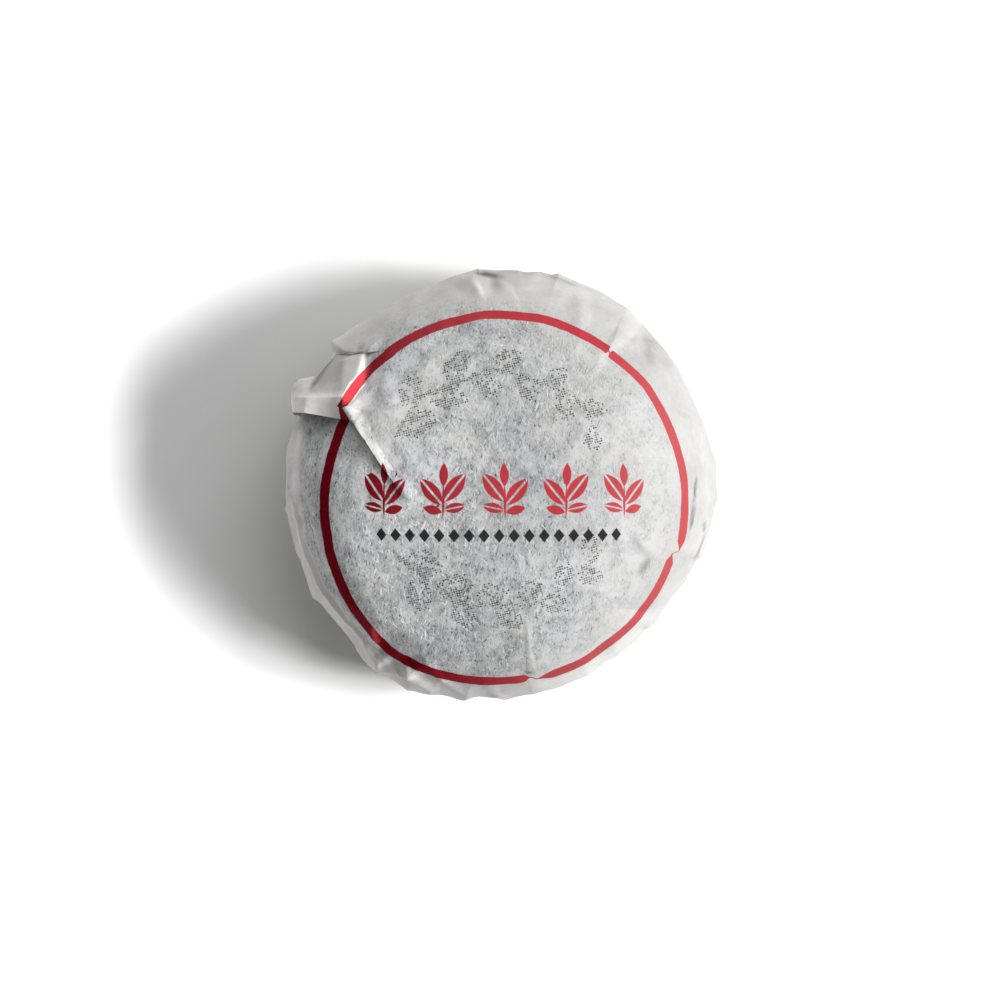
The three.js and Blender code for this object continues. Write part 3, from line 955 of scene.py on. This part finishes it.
# Kinds of node, and settings that many of them share
VECTOR = "ShaderNodeVectorMath"
RANGED = "ShaderNodeMapRange"
MIXED = "ShaderNodeMix"
NOISE = "ShaderNodeTexNoise"
MAPPED = "ShaderNodeMapping"
COLOURS = {"out": 2, "data_type": "RGBA"}
EASED = {"interpolation_type": "SMOOTHSTEP"}


def add_node(tree, kind, feeds=(), out=0, **settings):
    """Adds a node with its settings, feeds its inputs by name or in order, and gives back an output. A kind
    in capitals is an operation of the maths node."""
    node = tree.nodes.new("ShaderNodeMath" if kind.isupper() else kind)
    if kind.isupper():
        node.operation = kind
    for name, value in settings.items():
        setattr(node, name, value)
    for key, value in feeds.items() if isinstance(feeds, dict) else enumerate(feeds):
        if isinstance(value, bpy.types.NodeSocket):
            tree.links.new(value, node.inputs[key])
        else:
            node.inputs[key].default_value = value
    return node.outputs[out] if node.outputs else node


def loose_paper(put, place, paleness_and_light_here):
    """Paper standing off the tea, faintly cloudy and mottled; the tone fed in carries painted light and shade
    as well as the paper's own paleness.
    """
    tone = paleness_and_light_here
    for per_mm, depth, settings in LOOSE_CLOUDS:
        cloud = put(NOISE, {"Vector": place, "Scale": per_mm, **settings})
        cloud = put(RANGED, [cloud, 0.35, 0.65, -depth, depth])
        tone = put("ADD", [tone, cloud])
    return put(MIXED, {0: tone, 6: linear(LOOSE_DARK), 7: linear(LOOSE_PALE)}, **COLOURS)


def paper_on_tea(put, place, rough_here):
    """Paper on the tea: smooth and pale where it bridges a hollow, darker where a leaf shows through."""
    bridge = put(NOISE, {"Vector": place, "Scale": BRIDGES_PER_MM, "Detail": 4, "Roughness": 0.68,
                               "Distortion": 0.3})
    bridge = put(RANGED, [bridge, 0.34, 0.66, -0.45, 0.45])
    leafy = put("ADD", [rough_here, bridge], use_clamp=True)
    tint = put(NOISE, {"Vector": place, "Scale": TINTS_PER_MM, "Detail": 2, "W": 3.0},
               noise_dimensions="4D")
    tint = put(RANGED, [tint, 0.35, 0.65, 0, 1])
    ground = put(MIXED, {0: tint, 6: linear(TIGHT_COOL), 7: linear(TIGHT_WARM)}, **COLOURS)
    cover = put("MULTIPLY", [leafy, 0.75])
    ground = put(MIXED, {0: cover, 6: ground, 7: linear(LEAF_SHADOW)}, **COLOURS)

    # Strokes of leaf close under the paper, then dark flecks, then pale fibres
    some = put("MULTIPLY_ADD", [leafy, 0.8, 0.2])
    for mark in LEAF_MARKS:
        heading = (0, 0, math.radians(mark.heading))
        turned = put(MAPPED, [place, mark.start, heading, mark.size], vector_type="TEXTURE")
        shown = put(NOISE, {"Vector": turned, "Scale": 1.0, **mark.settings})
        shown = put(RANGED, [shown, mark.low, mark.high, mark.at_low, mark.at_high], **EASED)
        shown = put("MULTIPLY", [shown, some])
        ground = put(MIXED, {0: shown, 6: ground, 7: linear(mark.colour)}, **COLOURS)
    return ground


def wreath_dots(put, flat, stipple_here):
    """The black screen: a square lattice of dots, each kept or dropped by the tone under it."""
    turned = (0, 0, math.radians(SCREEN_TURN))
    pitch = (SCREEN_PITCH, SCREEN_PITCH, 1)
    screen = put(MAPPED, {0: flat, 2: turned, 3: pitch}, vector_type="TEXTURE")
    cell = put(VECTOR, [screen], operation="FLOOR")
    chance = put("ShaderNodeTexWhiteNoise", {"Vector": cell}, noise_dimensions="2D")
    kept = put("GREATER_THAN", [stipple_here, chance])
    within = put(VECTOR, [screen], operation="FRACTION")
    from_dot = put(VECTOR, [within, (0.5, 0.5, 0)], out="Value", operation="DISTANCE")
    dot = put(RANGED, [from_dot, 0.28, 0.5, 1, 0], **EASED)
    weight = put(RANGED, [chance, 0, 0.8, 0.95, 0.45])
    dot = put("MULTIPLY", [dot, kept])
    return put("MULTIPLY", [dot, weight])


def lozenge_rule(put, flat):
    """A rule of lozenges side by side."""
    rule = put(VECTOR, [flat, (*RULE_CENTRE, 0)], operation="SUBTRACT")
    rule_x, rule_y = [put("ShaderNodeSeparateXYZ", [rule], out=axis) for axis in "XY"]
    step = put("PINGPONG", [rule_x, RULE_PITCH / 2])
    step = put("MULTIPLY", [step, 1 / LOZENGE_HALF_WIDTH])
    rise = put("ABSOLUTE", [rule_y])
    rise = put("MULTIPLY", [rise, 1 / LOZENGE_HALF_HEIGHT])
    lozenge = put("ADD", [step, rise])
    lozenge = put(RANGED, [lozenge, 0.9, 1.05, 0.97, 0], **EASED)
    within = put("ABSOLUTE", [rule_x])
    within = put("LESS_THAN", [within, RULE_LENGTH / 2])
    return put("MULTIPLY", [lozenge, within])


def printed_ring(put, flat, ring_here):
    """The ring, its edges a little uneven."""
    wobble = put(NOISE, {"Vector": flat, "Scale": WOBBLES_PER_MM, "Detail": 2})
    wobble = put(RANGED, [wobble, 0, 1, -0.1, 0.1])
    gap = put("ABSOLUTE", [ring_here])
    gap = put("ADD", [gap, wobble])
    return put(RANGED, [gap, 0.9, 1.08, 1, 0], **EASED)


def sprig_row(put, flat):
    """A row of sprigs, every other one turned the other way."""
    row = put(VECTOR, [flat, (*MOTIF_CENTRE, 0)], operation="SUBTRACT")
    row_x, row_y = [put("ShaderNodeSeparateXYZ", [row], out=axis) for axis in "XY"]
    place_x = put("MULTIPLY_ADD", [row_x, 1 / MOTIF_PITCH, MOTIFS / 2])
    number = put("FLOOR", [place_x])
    odd = put("FLOORED_MODULO", [number, 2])
    flip = put("MULTIPLY_ADD", [odd, 2, -1])
    local_x = put("SUBTRACT", [place_x, number])
    local_x = put("MULTIPLY_ADD", [local_x, MOTIF_PITCH, -MOTIF_PITCH / 2])
    local_x = put("MULTIPLY", [local_x, flip])
    local = put("ShaderNodeCombineXYZ", [local_x, row_y])
    sprig = None
    for middle, heading, half_length, half_width, ribbed in SPRIG:
        turned = (0, 0, math.radians(heading))
        leaf = put(MAPPED, [local, (*middle, 0), turned, (half_length, half_width, 1)],
                   vector_type="TEXTURE")
        leaf_x, leaf_y = [put("ShaderNodeSeparateXYZ", [leaf], out=axis) for axis in "XY"]
        off_rib = put("ABSOLUTE", [leaf_y])
        edge = put("MULTIPLY_ADD", [leaf_x, leaf_x, off_rib])
        edge = put("SUBTRACT", [1, edge])
        if ribbed:
            rib = put("SUBTRACT", [off_rib, SPRIG_RIB])
            edge = put("MINIMUM", [edge, rib])
        edge = put("MULTIPLY", [edge, half_width])
        sprig = edge if sprig is None else put("MAXIMUM", [sprig, edge])
    sprig = put(RANGED, [sprig, -0.03, 0.04, 0, 1], **EASED)
    reach = put("ABSOLUTE", [row_x])
    reach = put("LESS_THAN", [reach, MOTIF_PITCH * MOTIFS / 2])
    return put("MULTIPLY", [sprig, reach])


def red_ink(put, flat, highlight_here):
    """Red ink with painted shade towards the left, painted light towards the right, and a painted highlight
    on the flap's lit fold and in the dent.
    """
    red = linear(RED_IN_SHADE)
    for way, low, high, colour in RED_CHANGES:
        across = put(VECTOR, [flat, way], out="Value", operation="DOT_PRODUCT")
        further = put(RANGED, [across, low, high, 0, 1], **EASED)
        red = put(MIXED, {0: further, 6: red, 7: linear(colour)}, **COLOURS)
    return put(MIXED, {0: highlight_here, 6: red, 7: linear(RED_HIGHLIGHT)}, **COLOURS)


def tea_paper():
    """Thin machine-made wrapping paper, uncoated, printed in two inks: matt, pale where it is loose, and
    greyed by the dark leaf where it lies tight on the tea, with flecks and paler fibres in it. Painted light,
    shade and highlight are mixed into its colour as well."""
    material = bpy.data.materials.new("thin_uncoated_paper_printed")
    material.use_nodes = True
    material.node_tree.nodes.clear()
    put = partial(add_node, material.node_tree)
    place = put("ShaderNodeTexCoord", out="Object")
    place = put(VECTOR, {0: place, "Scale": 1 / MM}, operation="SCALE")
    flat = put("ShaderNodeUVMap", uv_map="OFBake")
    flat = put(VECTOR, [flat, (0.5, 0.5, 0)], operation="SUBTRACT")
    flat = put(VECTOR, {0: flat, "Scale": map_size}, operation="SCALE")
    here = {name: put("ShaderNodeAttribute", out="Fac", attribute_name=name) for name in SHEET_VALUES}

    # The paper, then the black print, then the red
    loose = loose_paper(put, place, here["pale"])
    tight = paper_on_tea(put, place, here["rough"])
    paper = put(MIXED, {0: here["contact"], 6: loose, 7: tight}, **COLOURS)
    # Painted light and shade: the paper's colour is scaled lighter on the left and darker on the right
    paper = put(VECTOR, {0: paper, "Scale": here["light"]}, operation="SCALE")
    dots = wreath_dots(put, flat, here["stipple"])
    paper = put(MIXED, {0: dots, 6: paper, 7: linear(SCREEN_BLACK)}, **COLOURS)
    rule = lozenge_rule(put, flat)
    paper = put(MIXED, {0: rule, 6: paper, 7: linear(RULE_BLACK)}, **COLOURS)
    ink = printed_ring(put, flat, here["ring"])
    ink = put("MAXIMUM", [ink, sprig_row(put, flat)])
    worn = put(NOISE, {"Vector": flat, "Scale": WEAR_PER_MM, "Detail": 3, "Roughness": 0.7})
    worn = put(RANGED, [worn, 0.3, 0.5, 0.98, 1])
    ink = put("MULTIPLY", [ink, worn])
    paper = put(MIXED, {0: ink, 6: paper, 7: red_ink(put, flat, here["painted_highlight"])}, **COLOURS)

    # Painted shade in folds too narrow for light, and the tooth of the paper
    paper = put(MIXED, {0: here["shade"], 6: paper, 7: linear(FOLD_SHADE)}, **COLOURS)
    tooth = put(NOISE, {"Vector": place, "Scale": TEETH_PER_MM, "Detail": 4, "Roughness": 0.65})
    bump = put("ShaderNodeBump", {"Height": tooth, "Strength": 0.35, "Distance": TOOTH_DEPTH * MM})
    shader = put("ShaderNodeBsdfPrincipled",
                 {"Base Color": paper, "Roughness": 0.82, "Specular IOR Level": 0.02, "Normal": bump})
    put("ShaderNodeOutputMaterial", {"Surface": shader})
    return material


wrap.data.materials.clear()
wrap.data.materials.append(tea_paper())
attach(wrap, "root")
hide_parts("wrapped_tuocha")

# A plain pale floor
bpy.ops.object.select_all(action="DESELECT")
bpy.ops.mesh.primitive_plane_add(size=FLOOR_SIZE, location=(0, 0, 0))
floor = bpy.context.object
floor.name = "floor"
floor_paint = bpy.data.materials.new("floor_white_card")
floor_paint.use_nodes = True
floor_inputs = floor_paint.node_tree.nodes["Principled BSDF"].inputs
floor_inputs["Base Color"].default_value = linear(FLOOR_WHITE)
floor_inputs["Roughness"].default_value = 0.9
floor_inputs["Specular IOR Level"].default_value = 0.0
floor.data.materials.append(floor_paint)

# The lights, and an even fill that the camera sees as white
for name, bearing, height, strength, spread in LIGHTS:
    bpy.ops.object.light_add(type="SUN", rotation=(0, math.radians(90 - height), math.radians(bearing)))
    sun = bpy.context.object
    sun.name = name
    sun.data.energy = strength
    sun.data.angle = math.radians(spread)
world = bpy.data.worlds.new("studio")
bpy.context.scene.world = world
world.use_nodes = True
world.node_tree.nodes.clear()
put = partial(add_node, world.node_tree)
seen = put("ShaderNodeLightPath", out="Is Camera Ray")
strength = put(RANGED, [seen, 0, 1, FILL_STRENGTH, 1.0])
glow = put("ShaderNodeBackground", {"Color": (1, 1, 1, 1), "Strength": strength})
put("ShaderNodeOutputWorld", {"Surface": glow})
bpy.context.scene.view_settings.view_transform = "Standard"

# The camera looks straight down
bpy.ops.object.camera_add(location=[v * MM for v in CAMERA_PLACE], rotation=(0, 0, 0))
camera = bpy.context.object
camera.data.lens = LENS
camera.data.sensor_width = SENSOR_WIDTH
camera.data.clip_start = 0.01
camera.data.clip_end = 50
bpy.context.scene.camera = camera
